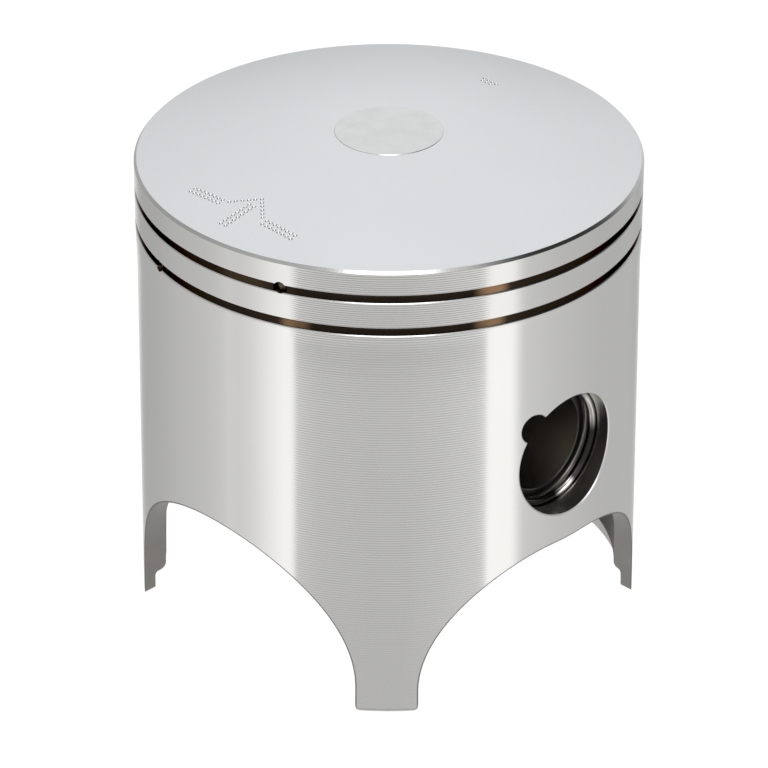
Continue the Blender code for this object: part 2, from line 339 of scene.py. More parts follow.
def radial_tangent(nodes, shader, rotation):
    tangent = nodes.add("ShaderNodeTangent", direction_type="RADIAL", axis="Z")
    nodes.link(tangent.outputs[0], shader.inputs["Tangent"])
    shader.inputs["Anisotropic Rotation"].default_value = rotation


def bump(nodes, shader, height, distance, strength=1.0):
    node = nodes.add("ShaderNodeBump")
    node.inputs["Strength"].default_value = strength
    node.inputs["Distance"].default_value = distance
    nodes.link(height, node.inputs["Height"])
    nodes.link(node.outputs[0], shader.inputs["Normal"])
    return node


def turned_finish(pitch_mm, depth_um, streak):
    """Fine tool marks round the Z axis, a little uneven from one to the next."""

    def build(nodes, shader, position):
        split = nodes.add("ShaderNodeSeparateXYZ")
        nodes.link(position, split.inputs[0])
        z = split.outputs["Z"]
        wobble = nodes.noise(nodes.stretch(position, 25, 25, 900), 1.0, 1.0)
        deeper = nodes.math("MULTIPLY", nodes.ramp(z, 0.0538, 0.0548, 1.0, 2.2), nodes.ramp(z, 0.003, 0.026, 0.3, 1.0))  # the lands keep stronger marks
        coarse = nodes.math("MULTIPLY", z, math.tau / (pitch_mm * 0.001))
        fine = nodes.math("MULTIPLY", z, math.tau / 0.000305)
        over_lands = nodes.math("GREATER_THAN", z, 0.0551)
        kept = nodes.math("MULTIPLY", coarse, nodes.math("SUBTRACT", 1.0, over_lands))
        phase = nodes.math("ADD", kept, nodes.math("MULTIPLY", fine, over_lands))
        phase = nodes.math("ADD", phase, nodes.math("MULTIPLY", wobble, 2.2))
        wave = nodes.math("SINE", phase)
        uneven = nodes.noise(nodes.stretch(position, 60, 60, 5200), 1.0, 2.0)
        height = nodes.math("ADD", nodes.math("MULTIPLY", wave, 0.5), nodes.math("MULTIPLY", uneven, streak))
        height = nodes.math("MULTIPLY", height, deeper)
        bump(nodes, shader, height, depth_um * 1e-6)
        radial_tangent(nodes, shader, 0.25)
        patch = nodes.noise(nodes.stretch(position, 70, 70, 22), 1.0, 3.0)
        base = tuple(shader.inputs["Base Color"].default_value)[:3]
        dull = tuple(c * 0.93 for c in base)
        on_skirt = nodes.mix(patch, dull, base)
        on_lands = nodes.mix(patch, tuple(c * 0.87 for c in base), tuple(c * 0.94 for c in base))
        nodes.link(nodes.mix(over_lands, on_skirt, on_lands), shader.inputs["Base Color"])

    return build


def faced_finish(nodes, shader, position):
    """Crown: very fine turning marks round the middle, soft cloudy variation."""
    split = nodes.add("ShaderNodeSeparateXYZ")
    nodes.link(position, split.inputs[0])
    x, y = split.outputs["X"], split.outputs["Y"]
    radius = nodes.math("SQRT", nodes.math("ADD", nodes.math("MULTIPLY", x, x), nodes.math("MULTIPLY", y, y)))
    join = nodes.add("ShaderNodeCombineXYZ")
    nodes.link(radius, join.inputs["X"])
    rings = nodes.noise(nodes.stretch(join.outputs[0], 5200, 0, 0), 1.0, 2.0)
    wave = nodes.math("SINE", nodes.math("MULTIPLY", radius, math.tau / 0.00022))
    height = nodes.math("ADD", nodes.math("MULTIPLY", wave, 0.3), rings)
    bump(nodes, shader, height, 0.9e-6)
    cloud = nodes.noise(position, 55.0, 4.0, 0.55)
    grain = nodes.noise(position, 2600.0, 2.0)
    base = tuple(shader.inputs["Base Color"].default_value)[:3]
    tint = nodes.mix(nodes.math("MULTIPLY", cloud, 1.0), tuple(c * 0.95 for c in base), base)
    # the middle disc was faced in its own pass and takes a brighter, slightly mottled look
    disc = nodes.ramp(radius, DISC_R * 0.001 - 5e-5, DISC_R * 0.001 + 5e-5, 1.0, 0.0, smooth=False)
    mottled = nodes.mix(nodes.noise(position, 420.0, 3.0), (0.66, 0.668, 0.67), (0.80, 0.806, 0.806))
    nodes.link(nodes.mix(disc, tint, mottled), shader.inputs["Base Color"])
    nodes.link(nodes.ramp(grain, 0.3, 0.7, 0.30, 0.37), shader.inputs["Roughness"])


def milled_finish(nodes, shader, position):
    marks = nodes.noise(nodes.stretch(position, 3500, 3500, 90), 1.0, 2.0)
    bump(nodes, shader, marks, 3e-6)
    base = tuple(shader.inputs["Base Color"].default_value)[:3]
    nodes.link(nodes.mix(nodes.noise(position, 320.0, 3.0), tuple(c * 0.85 for c in base), base), shader.inputs["Base Color"])


def forged_finish(nodes, shader, position):
    coarse = nodes.noise(position, 700.0, 4.0, 0.6)
    fine = nodes.noise(position, 3600.0, 3.0, 0.6)
    height = nodes.math("ADD", coarse, nodes.math("MULTIPLY", fine, 0.5))
    bump(nodes, shader, height, 3.5e-5)
    base = tuple(shader.inputs["Base Color"].default_value)[:3]
    nodes.link(nodes.mix(coarse, tuple(c * 0.75 for c in base), base), shader.inputs["Base Color"])


def honed_finish(nodes, shader, position):
    marks = nodes.noise(nodes.stretch(position, 5200, 90, 90), 1.0, 2.0)
    bump(nodes, shader, marks, 1.0e-6)
    base = tuple(shader.inputs["Base Color"].default_value)[:3]
    nodes.link(nodes.mix(nodes.noise(position, 240.0, 2.0), tuple(c * 0.9 for c in base), base), shader.inputs["Base Color"])


def groove_finish(nodes, shader, position, painted_glints=()):
    """Dark coating with painted highlights: bronze patches near the listed angles round the axis, and no pale sheen at
    a low angle.
    """
    radial_tangent(nodes, shader, 0.25)
    lines = nodes.noise(nodes.stretch(position, 60, 60, 9000), 1.0, 2.0)
    bump(nodes, shader, lines, 1.2e-6)
    cloud = nodes.noise(position, 110.0, 4.0, 0.6)
    base = tuple(shader.inputs["Base Color"].default_value)[:3]
    coat = nodes.mix(cloud, tuple(c * 0.7 for c in base), tuple(c * 1.3 for c in base))
    split = nodes.add("ShaderNodeSeparateXYZ")
    nodes.link(position, split.inputs[0])
    turn = nodes.math("ARCTAN2", split.outputs["X"], nodes.math("MULTIPLY", split.outputs["Y"], -1.0))
    turn = nodes.math("MULTIPLY", turn, 180 / math.pi)
    # painted highlights: the base colour turns bronze near each listed angle, where the light strips would shine in the
    # ring
    tint = 0.0
    for middle, reach, strength in painted_glints:
        near = nodes.ramp(nodes.math("ABSOLUTE", nodes.math("SUBTRACT", turn, middle)), reach * 0.35, reach, strength, 0.0)
        tint = nodes.math("ADD", tint, near)
    nodes.link(nodes.mix(tint, coat, (0.26, 0.155, 0.085)), shader.inputs["Base Color"])
    shader.inputs["Specular Tint"].default_value = (0.32, 0.27, 0.22, 1)


def ring_finish(*painted_glints):
    def build(nodes, shader, position):
        groove_finish(nodes, shader, position, painted_glints)

    return build


def pin_finish(nodes, shader, position):
    marks = nodes.noise(nodes.stretch(position, 4200, 160, 160), 1.0, 2.0)
    bump(nodes, shader, marks, 0.6e-6)
    cloud = nodes.noise(position, 150.0, 3.0)
    base = tuple(shader.inputs["Base Color"].default_value)[:3]
    nodes.link(nodes.mix(cloud, tuple(c * 0.8 for c in base), tuple(c * 1.1 for c in base)), shader.inputs["Base Color"])


def wire_finish(nodes, shader, position):
    drawn = nodes.noise(position, 900.0, 3.0)
    bump(nodes, shader, drawn, 1.5e-6)
    nodes.link(nodes.ramp(drawn, 0.3, 0.7, 0.12, 0.22), shader.inputs["Roughness"])


def clip_finish(nodes, shader, position):
    """Near-black wire, coloured as painted shade of the groove it sits in, with painted highlights: bright patches at
    two angles round the pin axis.
    """
    wire_finish(nodes, shader, position)
    split = nodes.add("ShaderNodeSeparateXYZ")
    nodes.link(position, split.inputs[0])
    turn = nodes.math("ARCTAN2", nodes.math("SUBTRACT", split.outputs["Z"], PIN_Z * 0.001), split.outputs["Y"])
    turn = nodes.math("MULTIPLY", turn, 180 / math.pi)
    # painted highlights: the wire's colour turns bright near two angles round the pin axis
    painted_shine = 0.0
    for middle, reach, strength in ((22.0, 30.0, 0.95), (-70.0, 15.0, 1.0)):
        near = nodes.ramp(nodes.math("ABSOLUTE", nodes.math("SUBTRACT", turn, middle)), reach * 0.25, reach, strength, 0.0)
        painted_shine = nodes.math("ADD", painted_shine, near)
    base = tuple(shader.inputs["Base Color"].default_value)[:3]
    nodes.link(nodes.mix(painted_shine, base, (0.80, 0.78, 0.75)), shader.inputs["Base Color"])


ALLOY = (0.840, 0.833, 0.814)
M_TURNED = metal("turned_alloy", ALLOY, 0.17, aniso=1.0, build=turned_finish(0.35, 6.5, 0.22))
M_CROWN = metal("faced_alloy", (0.797, 0.807, 0.828), 0.33, build=faced_finish)
M_GROOVE = metal("dark_groove", (0.24, 0.17, 0.115), 0.30, aniso=0.6, build=groove_finish)
M_MILLED = metal("milled_alloy", (0.335, 0.32, 0.305), 0.38, build=milled_finish)
# the inside of the skirt is coloured near black: painted shade for the shadowed hollow, over the forged texture
M_FORGED_SHADED = metal("forged_alloy", (0.078, 0.072, 0.063), 0.50, build=forged_finish)
M_BORE = metal("honed_bore", (0.76, 0.74, 0.71), 0.24, build=honed_finish)
M_LIP = metal("groove_lip", (0.42, 0.41, 0.40), 0.20, build=honed_finish)
M_EDGE = metal("broken_edge", (0.72, 0.72, 0.71), 0.18, build=milled_finish)
# the edge breaks round the arches are coloured dark: painted shade along the arch edges
M_ARCH_EDGE_SHADED = metal("filed_edge_painted_shade", (0.22, 0.215, 0.205), 0.35, build=milled_finish)
BODY_MATERIALS = [M_TURNED, M_CROWN, M_GROOVE, M_MILLED, M_FORGED_SHADED, M_BORE, M_EDGE, M_ARCH_EDGE_SHADED, M_LIP]
# painted highlights, bronze patches on the rings: degrees from -Y towards +X, reach, strength
M_RING_UPPER = metal("coated_ring", (0.026, 0.018, 0.012), 0.12, aniso=0.6, build=ring_finish((67.8, 4.8, 1.0), (11.0, 8.0, 0.13)))
M_RING_LOWER = metal("coated_ring_2", (0.026, 0.018, 0.012), 0.12, aniso=0.6, build=ring_finish((67.3, 4.6, 0.8), (24.0, 4.4, 0.65)))
M_PIN = metal("lapped_steel_pin", (0.66, 0.64, 0.61), 0.16, build=pin_finish)
# ends and hollow of the wrist pin coloured near black: painted shade inside the pin bore
M_PIN_END_SHADED = metal("dark_pin_end_painted_shade", (0.075, 0.074, 0.070), 0.34, build=pin_finish)
# the circlip's near-black colour is painted shade; its bright patches are painted highlights (clip_finish)
M_WIRE = metal("dark_wire", (0.030, 0.029, 0.028), 0.16, build=clip_finish)
M_DOWEL = metal("ground_dowel", (0.11, 0.082, 0.06), 0.30, build=wire_finish)


# ---------------------------------------------------------------- piston body
def body_profile():
    rim_r = LAND_R - RIM_CHAMFER_R
    line, mats = [(0, DISC_Z)], []

    def to(r, z, mat):
        line.append((r, z))
        mats.append(mat)

    to(DISC_R * 0.5, DISC_Z, CROWN)
    to(DISC_R - 0.03, DISC_Z, CROWN)
    to(DISC_R + 0.03, DISC_Z - DISC_STEP, EDGE)
    for k in range(1, 21):
        r = DISC_R + (rim_r - DISC_R) * k / 20
        to(r, dome_z(r) - DISC_STEP * (1 - k / 20), CROWN)
    to(LAND_R, RIM_Z - RIM_CHAMFER, EDGE)
    b = LAND_BREAK
    for top in GROOVE_TOPS:
        low = top - GROOVE_H
        to(LAND_R, top + b, TURNED)
        to(LAND_R - b, top, EDGE)
        to(GROOVE_R, top, GROOVE)
        to(GROOVE_R, low, GROOVE)
        to(LAND_R - b, low, GROOVE)
        to(LAND_R, low - b, EDGE)
    for z in (54.9, 54.5, 54.0, 53.4, 52.7, 51.9, 51.0, 50.1, 49.3, 45.0, 40.0, 34.0, 28.0, 22.0, 16.0, 10.0, 5.0, FOOT_ROUND + 0.2):
        to(skirt_r(z), z, TURNED)
    f = FOOT_ROUND
    for k in range(0, 7):
        a = math.radians(90 * k / 6)
        to(SKIRT_R - f + f * math.cos(a), f - f * math.sin(a), TURNED)
    to(0, 0, MILLED)
    return line, mats


def cavity_profile():
    line = [(0, UNDERCROWN_Z)]
    for k in range(1, 9):
        r = 20.4 * k / 8
        line.append((r, UNDERCROWN_Z - 0.35 * (k / 8) ** 2))
    for degrees in range(10, 91, 10):
        turn = math.radians(degrees)
        line.append((20.4 + 5.9 * math.sin(turn), UNDERCROWN_Z - 6.25 + 5.9 * math.cos(turn)))
    for k in range(0, 11):
        t = k / 10
        soft = t * t * (3 - 2 * t)
        line.append((BELT_R + (CAVITY_R - BELT_R) * soft, 51.5 - 10.0 * t))
    line.append((CAVITY_R, 20.0))
    # rounded corner over the machined step at the mouth
    for k in range(0, 9):
        a = math.radians(90 * k / 8)
        line.append((CAVITY_R + 0.8 * (1 - math.cos(a)), PILOT_Z + 0.8 * (1 - math.sin(a))))
    line += [(CAVITY_R + 0.82, -2), (0, -2)]
    return line


def pilot_profile():
    line = [(0, PILOT_Z)]
    c = 0.5
    for k in range(0, 7):
        a = math.radians(90 * k / 6)
        line.append((PILOT_R - c + c * math.sin(a), PILOT_Z - c + c * math.cos(a)))
    f = FOOT_ROUND_IN
    for k in range(0, 6):
        a = math.radians(90 * k / 6)
        line.append((PILOT_R + f * (1 - math.cos(a)), f * (1 - math.sin(a))))
    line += [(PILOT_R + f + 0.12, -0.05), (PILOT_R + f + 0.12, -2), (0, -2)]
    return line


def boss_outline():
    line = [(-10.0, UNDERCROWN_Z - PIN_Z + 3), (-BOSS_R, 2.0)]
    line += [(BOSS_R * math.cos(math.radians(a)), BOSS_R * math.sin(math.radians(a))) for a in range(184, 360, 4)]
    return line + [(BOSS_R, 2.0), (10.0, UNDERCROWN_Z - PIN_Z + 3)]


def leg_foot(half):
    """Start of an arch at its right-hand leg, whose foot has a rounded corner."""
    c = FOOT_CORNER
    turns = [math.radians(90 - 15 * k) for k in range(7)]
    return [(half + c, -2.0)] + [(half + c * (1 - math.cos(t)), c * (1 - math.sin(t)) - 0.03) for t in turns]


def intake_arch_outline(steps=120):
    r, z = INTAKE_ARCH_R, INTAKE_ARCH_Z
    right = leg_foot(r) + [(r, (FOOT_CORNER + z) / 2)]
    left = [(-a, b) for a, b in reversed(right)]
    return right + arc(0, z, r, 0, 180, steps) + left


def side_arch_outline(steps=48):
    mid, low = SIDE_ARCH_HALF - SIDE_ARCH_CORNER, SIDE_ARCH_TOP - SIDE_ARCH_CORNER
    right = leg_foot(SIDE_ARCH_HALF) + [(SIDE_ARCH_HALF, (FOOT_CORNER + low) / 2)]
    left = [(-a, b) for a, b in reversed(right)]
    top = [(mid * (1 - 2 * k / 8), SIDE_ARCH_TOP) for k in range(1, 8)]
    return (
        right
        + arc(mid, low, SIDE_ARCH_CORNER, 0, 90, steps)
        + top
        + arc(-mid, low, SIDE_ARCH_CORNER, 90, 180, steps)
        + left
    )


def thinned(outline, least=0.12):
    """Outline without points that nearly touch."""
    kept = []
    for p in outline:
        if not kept or math.dist(p, kept[-1]) > least:
            kept.append(p)
    return kept


def rim_path(outline):
    """The line of the edge break: it runs straight down past the rounded corners of the feet."""
    kept = thinned([p for p in outline if p[1] > FOOT_CORNER * 0.9])
    return [(kept[0][0], -1.0)] + kept + [(kept[-1][0], -1.0)]


def on_skirt_y(a, b):
    r = skirt_r(b)
    return Vector((a, -math.sqrt(max(r * r - a * a, 1)), b))


def on_skirt_x(side):
    def place(a, b):
        r = skirt_r(b)
        return Vector((side * math.sqrt(max(r * r - a * a, 1)), a, b))

    return place


def dots():
    """Dot-peened marks on the crown: an arrow to the exhaust side between two dashes, and a small cluster."""
    cx, cy = 0.3, -26.3
    wanted = [(cx, cy + 3.4)]
    for k in range(1, 6):  # head
        wanted += [(cx + side * 0.60 * k, cy + 3.4 - 0.56 * k) for side in (-1, 1)]
    for k in range(8):  # shaft, in two rows
        wanted += [(cx + side * 0.42, cy - 3.3 + 0.70 * k) for side in (-1, 1)]
    for k in range(8):  # dashes
        wanted += [(cx + side * (4.0 + 0.72 * k), cy + dy) for side in (-1, 1) for dy in (-0.4, 0.4)]
    wanted += [(-3.9 + 0.8 * k, 21.8 - 0.1 * k) for k in range(4)]
    wanted += [(-3.5 + 0.8 * k, 21.0 - 0.1 * k) for k in range(3)]
    kept = []
    for p in wanted:
        if all(math.dist(p, q) > 0.64 for q in kept):
            kept.append(p)
    return kept


def dimples():
    """One small spindle per dot, set so that its lower half sinks into the crown."""
    points, faces, sides = [], [], 14
    for i, (x, y) in enumerate(dots()):
        top = dome_z(math.hypot(x, y))
        first = len(points)
        deep = 0.20 + 0.03 * math.sin(7.3 * i)
        points.append((x, y, top - deep))
        for r, z in ((0.16, -deep * 0.72), (0.30, 0.03)):
            points += [(x + r * math.cos(math.tau * k / sides), y + r * math.sin(math.tau * k / sides), top + z) for k in range(sides)]
        points.append((x, y, top + 0.4))
        for k in range(sides):
            n = (k + 1) % sides
            a, b, c, d = first + 1 + k, first + 1 + n, first + 1 + sides + k, first + 1 + sides + n
            faces += [[first, b, a], [a, b, d, c], [c, d, first + 1 + 2 * sides]]
    mesh = mesh_of("dimples", points, faces, [EDGE] * len(faces))
    face_outwards(mesh)
    return mesh


def bore_profile():
    """Half the bore with its finish per face, mirrored: a plain mouth, then the clip groove with its bright lips."""
    low, high = CLIP_X - CLIP_GROOVE_W / 2, CLIP_X + CLIP_GROOVE_W / 2
    half = [(BORE_MOUTH_R, 40.0), (BORE_MOUTH_R, high + 0.14), (CLIP_GROOVE_R - 0.28, high + 0.02), (CLIP_GROOVE_R - 0.25, high)]
    half += [(CLIP_GROOVE_R, high - 0.3), (CLIP_GROOVE_R, low + 0.3), (CLIP_GROOVE_R - 0.25, low), (BORE_R + 0.12, low), (BORE_R, low - 0.15)]
    mats = [BORE, LIP, LIP, BORE, BORE, BORE, BORE, LIP]
    line = [(0, 40.0)] + half + [(r, -z) for r, z in reversed(half)] + [(0, -40.0)]
    return line, [BORE] + mats + [BORE] + mats[::-1] + [BORE]


def make_body():
    line, mats = body_profile()
    body = work_object("body_blank", lathe("body_blank", line, STEPS, mats), BODY_MATERIALS)
    mats_all = BODY_MATERIALS

    cavity = work_object("cavity", lathe("cavity", cavity_profile(), 288, FORGED), mats_all)
    cavity.location = (0, CAVITY_SHIFT_Y, 0)
    for side in (1, -1):
        at_bore = Matrix.Translation((0, 0, PIN_Z)) @ ALONG_X
        ends = sorted((side * BOSS_GAP / 2, side * 40.0))
        mesh = prism("boss", boss_outline(), *ends, at_bore, FORGED)
        mesh.transform(Matrix.Translation((0, -CAVITY_SHIFT_Y, 0)))
        boss = boolean(cavity, mesh, f"boss_{side}", materials=mats_all)
        soften = boss.modifiers.new("soften", "BEVEL")
        soften.width = 0.9
        soften.segments = 4
        soften.limit_method = "ANGLE"
        soften.angle_limit = math.radians(50)
        boss.parent = None
        boss.location = (0, CAVITY_SHIFT_Y, 0)
    cut = boolean(body, bpy.data.meshes.new("none"), "cavity_cut")
    body.modifiers["cavity_cut"].object = cavity
    bpy.data.objects.remove(cut)

    boolean(body, lathe("pilot", pilot_profile(), STEPS, BORE), "pilot_cut", materials=mats_all)

    intake = intake_arch_outline()
    boolean(body, prism("intake", intake, -40, -14, ALONG_Y, MILLED), "intake_cut", materials=mats_all)
    rim = rim_path(intake)
    boolean(
        body,
        edge_break("intake_rim", rim, on_skirt_y, Vector((0, 1, 0)), False, ARCH_BREAK, ARCH_EDGE, ARCH_BREAK_IN),
        "intake_rim_cut",
        materials=mats_all,
    )
    side_outline = side_arch_outline()
    rim = rim_path(side_outline)
    for side in (1, -1):
        ends = sorted((side * 14.0, side * 40.0))
        boolean(body, prism("side", side_outline, *ends, ALONG_X, MILLED), f"side_cut_{side}", materials=mats_all)
        boolean(
            body,
            edge_break(f"side_rim_{side}", rim, on_skirt_x(side), Vector((-side, 0, 0)), False, ARCH_BREAK, ARCH_EDGE, ARCH_BREAK_IN),
            f"side_rim_cut_{side}",
            materials=mats_all,
        )

    line, mats = bore_profile()
    mesh = lathe("bore", line, BORE_STEPS, mats)
    mesh.transform(Matrix.Translation((0, 0, PIN_Z)) @ Matrix.Rotation(math.radians(90), 4, "Y"))
    boolean(body, mesh, "bore_cut", materials=mats_all)
    lift = math.radians(NOTCH_DEG)
    ny, nz = -NOTCH_OUT * math.cos(lift), PIN_Z + NOTCH_OUT * math.sin(lift)
    circle = [(BORE_MOUTH_R * math.cos(a), PIN_Z + BORE_MOUTH_R * math.sin(a)) for a in np.linspace(0, math.tau, BORE_STEPS, endpoint=False)]
    small = [(ny + NOTCH_R * math.cos(a), nz + NOTCH_R * math.sin(a)) for a in np.linspace(0, math.tau, 64, endpoint=False)]
    for side in (1, -1):
        boolean(
            body,
            rod("notch", (side * NOTCH_FLOOR_X, ny, nz), (side * 40, ny, nz), NOTCH_R, 64, BORE),
            f"notch_cut_{side}",
            materials=mats_all,
        )
        for label, outline, size in (("bore", circle, BORE_BREAK), ("notch", small, 0.12)):
            boolean(
                body,
                edge_break(f"{label}_rim_{side}", outline, on_skirt_x(side), Vector((-side, 0, 0)), True, size, EDGE, size * 0.6),
                f"{label}_rim_cut_{side}",
                materials=mats_all,
            )
    for name, (degrees, height) in LOCATORS.items():
        boolean(
            body,
            rod("seat", radial(degrees, LOCATOR_IN - 0.1, height), radial(degrees, GROOVE_R + 1, height), LOCATOR_SEAT_R, 32, GROOVE),
            f"{name}_seat_cut",
            materials=mats_all,
        )
        boolean(
            body,
            rod("hole", radial(degrees, GROOVE_R + 0.5, height), radial(degrees, LAND_R + 3, height), LOCATOR_HOLE_R, 48, GROOVE),
            f"{name}_hole_cut",
            materials=mats_all,
        )
    boolean(body, dimples(), "dimples_cut", materials=mats_all)
    return evaluated(body, "body")


def true_normals(mesh):
    """Smooth where the surface is smooth, and exact on the turned faces, where a cut leaves long thin facets."""
    mesh.shade_smooth()
    mesh.set_sharp_from_angle(angle=math.radians(26))
    count = len(mesh.loops)
    normals = np.empty(count * 3, np.float32)
    mesh.corner_normals.foreach_get("vector", normals)
    normals = normals.reshape(-1, 3).astype(np.float64)
    vert = np.empty(count, np.int32)
    mesh.loops.foreach_get("vertex_index", vert)
    co = np.empty(len(mesh.vertices) * 3, np.float32)
    mesh.vertices.foreach_get("co", co)
    p = co.reshape(-1, 3)[vert].astype(np.float64)
    slot = np.empty(len(mesh.polygons), np.int32)
    mesh.polygons.foreach_get("material_index", slot)
    total = np.empty(len(mesh.polygons), np.int32)
    mesh.polygons.foreach_get("loop_total", total)
    face_n = np.empty(len(mesh.polygons) * 3, np.float32)
    mesh.polygons.foreach_get("normal", face_n)
    slot, face_n = np.repeat(slot, total), np.repeat(face_n.reshape(-1, 3), total, axis=0)
    r = np.hypot(p[:, 0], p[:, 1])
    out = np.stack([p[:, 0] / np.maximum(r, 1e-9), p[:, 1] / np.maximum(r, 1e-9), np.zeros(count)], 1)
    # skirt: the wall leans by its taper
    lean = np.array([(SKIRT_R - SKIRT_TOP_R) / SKIRT_TOP_Z])
    wall = (slot == TURNED) & (np.abs(face_n[:, 2]) < 0.02)
    tilt = np.where(p[:, 2] < 49.01, lean, 0.0)
    ease = np.clip((p[:, 2] - 49.0) / 5.6, 0, 1)
    tilt = tilt - 6 * ease * (1 - ease) * (LAND_R - SKIRT_TOP_R) / 5.6
    own = out + np.stack([np.zeros(count), np.zeros(count), tilt], 1)
    own /= np.maximum(np.linalg.norm(own, axis=1), 1e-9)[:, None]
    normals[wall] = own[wall]
    # crown: dome outside the disc
    dome = (slot == CROWN) & (face_n[:, 2] > 0.9) & (r > DISC_R + 0.01) & (r < LAND_R - RIM_CHAMFER_R + 0.01)
    n = np.stack([p[:, 0], p[:, 1], np.sqrt(np.maximum(CROWN_R**2 - r * r, 1))], 1) / CROWN_R
    normals[dome] = n[dome]
    mesh.normals_split_custom_set(normals.tolist())


def finish_piece(name, mesh, materials, node, body, exact=False):
    for m in materials:
        if m.name not in [x.name for x in mesh.materials if x]:
            mesh.materials.append(m)
    if exact:
        true_normals(mesh)
    else:
        mesh.shade_smooth()
        mesh.set_sharp_from_angle(angle=math.radians(32))
    mesh.transform(Matrix.Scale(0.001, 4))
    obj = bpy.data.objects.new(name, mesh)
    SCENE.collection.objects.link(obj)
    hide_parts(node)
    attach(obj, body)
    return obj


# ---------------------------------------------------------------- small parts
def ring_mesh(top, degrees):
    """Ring with broken edges and a faintly barrelled face, open at its pin."""
    low = top - GROOVE_H + (GROOVE_H - RING_H) / 2
    high, e = low + RING_H, 0.07
    section = [(RING_IN_R + e, high), (RING_OUT_R - e, high), (RING_OUT_R - 0.02, high - e)]
    section += [(RING_OUT_R, (low + high) / 2), (RING_OUT_R - 0.02, low + e), (RING_OUT_R - e, low)]
    section += [(RING_IN_R + e, low), (RING_IN_R, low + e), (RING_IN_R, high - e)]
    half = math.degrees(RING_GAP / 2 / RING_OUT_R)
    steps = STEPS
    rings = []
    for i in range(steps + 1):
        at = degrees + half + (360 - 2 * half) * i / steps
        rings.append([radial(at, r, z) for r, z in section])
    return sweep("ring", rings, False)


def wrist_pin_mesh():
    half, e = PIN_L / 2, 0.5
    mouth = [(PIN_BORE_R, half - PIN_TAPER_L)]
    outer = []
    line = []
    # outer side from +end to -end, then back through the bore
    line += [(PIN_MOUTH_R + 0.12, half), (PIN_R - e, half)]
    line += [(PIN_R - e + e * math.sin(math.radians(a)), half - e + e * math.cos(math.radians(a))) for a in range(15, 91, 15)]
    for k in range(1, 8):
        line.append((PIN_R, half - e + (2 * e - 2 * half) * k / 8))
    line += [(PIN_R - e + e * math.cos(math.radians(a)), -half + e - e * math.sin(math.radians(a))) for a in range(0, 91, 15)]
    line += [(PIN_MOUTH_R + 0.12, -half), (PIN_MOUTH_R, -half + 0.12)]
    line += [(PIN_BORE_R, -half + PIN_TAPER_L), (PIN_BORE_R, 0), (PIN_BORE_R, half - PIN_TAPER_L), (PIN_MOUTH_R, half - 0.12)]
    mats = [0 if min(line[i][0], line[(i + 1) % len(line)][0]) >= PIN_R - e / 2 or abs(line[i][1] + line[(i + 1) % len(line)][1]) < 2 * half - 0.3 else 1 for i in range(len(line))]
    mesh = lathe("pin", line, BORE_STEPS, mats, closed=True)
    mesh.transform(Matrix.Translation((0, 0, PIN_Z)) @ Matrix.Rotation(math.radians(90), 4, "Y"))
    return mesh


def circlip_mesh(side):
    """Round wire with its cut ends slightly broken."""
    mean, wire = CLIP_GROOVE_R - 0.03 - CLIP_WIRE / 2, CLIP_WIRE / 2
    count, sides, gap = (144), 20, 24
    rings = []
    stations = [(0.0, 0.55), (0.004, 0.9)] + [(0.008 + 0.984 * i / count, 1.0) for i in range(count + 1)] + [(0.996, 0.9), (1.0, 0.55)]
    for t, scale in stations:
        turn = math.radians(90 + gap + (360 - 2 * gap) * t)
        ring = []
        for k in range(sides):
            a = math.tau * k / sides
            r = mean + wire * scale * math.cos(a)
            ring.append(Vector((side * (CLIP_X + wire * scale * math.sin(a)), r * math.cos(turn), PIN_Z + r * math.sin(turn))))
        rings.append(ring)
    return sweep("clip", rings, False)


finish_piece("piston_body_shell", make_body(), BODY_MATERIALS, "piston_body", "piston", exact=True)
for label, top in zip(("upper", "lower"), GROOVE_TOPS):
    degrees, height = LOCATORS[label]
    finish_piece(f"{label}_ring_turned", ring_mesh(top, degrees), [M_RING_UPPER if label == "upper" else M_RING_LOWER], f"{label}_ring", f"{label}_ring")
    finish_piece(
        f"{label}_ring_dowel",
        rod("dowel", radial(degrees, LOCATOR_IN, height), radial(degrees, LOCATOR_OUT, height), LOCATOR_R, 40, 0, dome=0.12),
        [M_DOWEL],
        f"{label}_ring_pin",
        "piston",
    )
finish_piece("wrist_pin_turned", wrist_pin_mesh(), [M_PIN, M_PIN_END_SHADED], "wrist_pin", "wrist_pin")
finish_piece("right_circlip_wire", circlip_mesh(1), [M_WIRE], "right_circlip", "piston")
finish_piece("left_circlip_wire", circlip_mesh(-1), [M_WIRE], "left_circlip", "piston")

for obj in list(WORK.objects):
    bpy.data.objects.remove(obj, do_unlink=True)
bpy.data.collections.remove(WORK)


# ---------------------------------------------------------------- stage, light, camera
def make_floor():
    mesh = bpy.data.meshes.new("floor")
    s = 3.0
    mesh.from_pydata([(-s, -s, 0), (s, -s, 0), (s, s, 0), (-s, s, 0)], [], [(0, 1, 2, 3)])
    floor = bpy.data.objects.new("floor", mesh)
    floor.location = (0, 0, -0.00002)
    SCENE.collection.objects.link(floor)
    made = bpy.data.materials.new("pale_floor")
    made.use_nodes = True
    nodes = Nodes(made.node_tree)
    made.node_tree.nodes.remove(made.node_tree.nodes["Principled BSDF"])
    out = made.node_tree.nodes["Material Output"]
    paint = nodes.add("ShaderNodeBsdfDiffuse")
    paint.inputs["Color"].default_value = (0.9, 0.9, 0.9, 1)
    glow = nodes.add("ShaderNodeEmission")
    glow.inputs["Color"].default_value = (1, 1, 1, 1)
    glow.inputs["Strength"].default_value = 1.08
    seen = nodes.add("ShaderNodeMixShader")  # as the camera sees it: nearly white, with a trace of shadow
    seen.inputs[0].default_value = 0.93
    nodes.link(paint.outputs[0], seen.inputs[1])
    nodes.link(glow.outputs[0], seen.inputs[2])
    nodes.link(seen.outputs[0], out.inputs["Surface"])
    mesh.materials.append(made)
    floor.visible_glossy = False  # the metal reflects the studio only
    return floor


